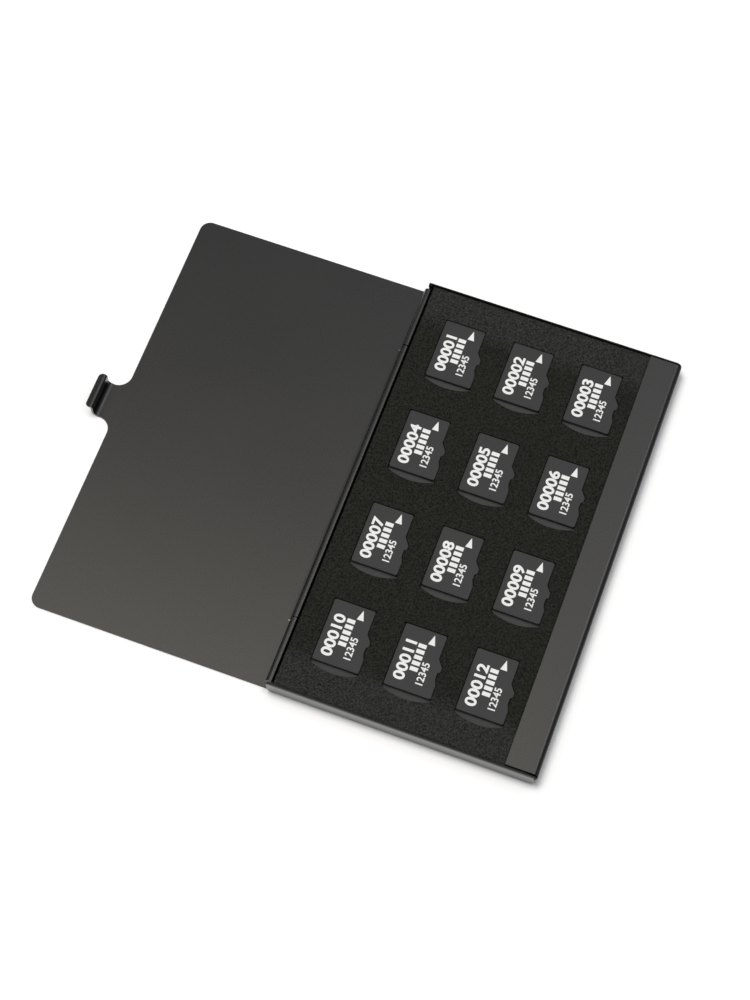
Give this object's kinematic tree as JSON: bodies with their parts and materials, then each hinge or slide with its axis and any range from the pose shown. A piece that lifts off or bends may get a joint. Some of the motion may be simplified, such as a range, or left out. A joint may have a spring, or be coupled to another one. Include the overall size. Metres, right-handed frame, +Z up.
{
  "type": "memory card case",
  "caption": "Slim folding sheet-aluminium case with a hinged lid, a bent clasp tongue and die-cut foam pockets that hold small memory cards flat.",
  "frame": {"origin": "centre of the tray's underside, on the surface that the open case lies on", "axes": "+X from the hinge to the folded front lip, +Y along the hinge, +Z up; the open lid lies on the -X side"},
  "size_m": [0.1262, 0.106, 0.0054],
  "materials": {
    "dark_aluminium": "dark anodised, fine satin",
    "pin_steel": "plain ground",
    "adhesive_film": "clear film",
    "foam_layer": "closed-cell foam, matt and finely pitted",
    "card_plastic": "moulded satin with white print",
    "contact_gilt": "gilt"
  },
  "bodies": {
    "tray": {"base_tray": "dark_aluminium", "hinge_pin": "pin_steel", "foam_adhesive": "adhesive_film", "foam_bed": "foam_layer", "foam_insert": "foam_layer"},
    "lid": {"lid": "dark_aluminium"},
    "card_01": {"card_01": "card_plastic", "card_contacts_01": "contact_gilt"},
    "card_02": {"card_02": "card_plastic", "card_contacts_02": "contact_gilt"},
    "card_03": {"card_03": "card_plastic", "card_contacts_03": "contact_gilt"},
    "card_04": {"card_04": "card_plastic", "card_contacts_04": "contact_gilt"},
    "card_05": {"card_05": "card_plastic", "card_contacts_05": "contact_gilt"},
    "card_06": {"card_06": "card_plastic", "card_contacts_06": "contact_gilt"},
    "card_07": {"card_07": "card_plastic", "card_contacts_07": "contact_gilt"},
    "card_08": {"card_08": "card_plastic", "card_contacts_08": "contact_gilt"},
    "card_09": {"card_09": "card_plastic", "card_contacts_09": "contact_gilt"},
    "card_10": {"card_10": "card_plastic", "card_contacts_10": "contact_gilt"},
    "card_11": {"card_11": "card_plastic", "card_contacts_11": "contact_gilt"},
    "card_12": {"card_12": "card_plastic", "card_contacts_12": "contact_gilt"}
  },
  "joints": [
    {"name": "lid_hinge", "type": "hinge", "parent": "tray", "child": "lid", "pos_m": [-0.03057, 0, 0.003], "axis": [0, -1, 0], "range_deg": [-180, 0]},
    {"name": "card_01_lift", "type": "slide", "parent": "tray", "child": "card_01", "axis": [0, 0, 1], "range_m": [0, 0.01]},
    {"name": "card_02_lift", "type": "slide", "parent": "tray", "child": "card_02", "axis": [0, 0, 1], "range_m": [0, 0.01]},
    {"name": "card_03_lift", "type": "slide", "parent": "tray", "child": "card_03", "axis": [0, 0, 1], "range_m": [0, 0.01]},
    {"name": "card_04_lift", "type": "slide", "parent": "tray", "child": "card_04", "axis": [0, 0, 1], "range_m": [0, 0.01]},
    {"name": "card_05_lift", "type": "slide", "parent": "tray", "child": "card_05", "axis": [0, 0, 1], "range_m": [0, 0.01]},
    {"name": "card_06_lift", "type": "slide", "parent": "tray", "child": "card_06", "axis": [0, 0, 1], "range_m": [0, 0.01]},
    {"name": "card_07_lift", "type": "slide", "parent": "tray", "child": "card_07", "axis": [0, 0, 1], "range_m": [0, 0.01]},
    {"name": "card_08_lift", "type": "slide", "parent": "tray", "child": "card_08", "axis": [0, 0, 1], "range_m": [0, 0.01]},
    {"name": "card_09_lift", "type": "slide", "parent": "tray", "child": "card_09", "axis": [0, 0, 1], "range_m": [0, 0.01]},
    {"name": "card_10_lift", "type": "slide", "parent": "tray", "child": "card_10", "axis": [0, 0, 1], "range_m": [0, 0.01]},
    {"name": "card_11_lift", "type": "slide", "parent": "tray", "child": "card_11", "axis": [0, 0, 1], "range_m": [0, 0.01]},
    {"name": "card_12_lift", "type": "slide", "parent": "tray", "child": "card_12", "axis": [0, 0, 1], "range_m": [0, 0.01]}
  ]
}
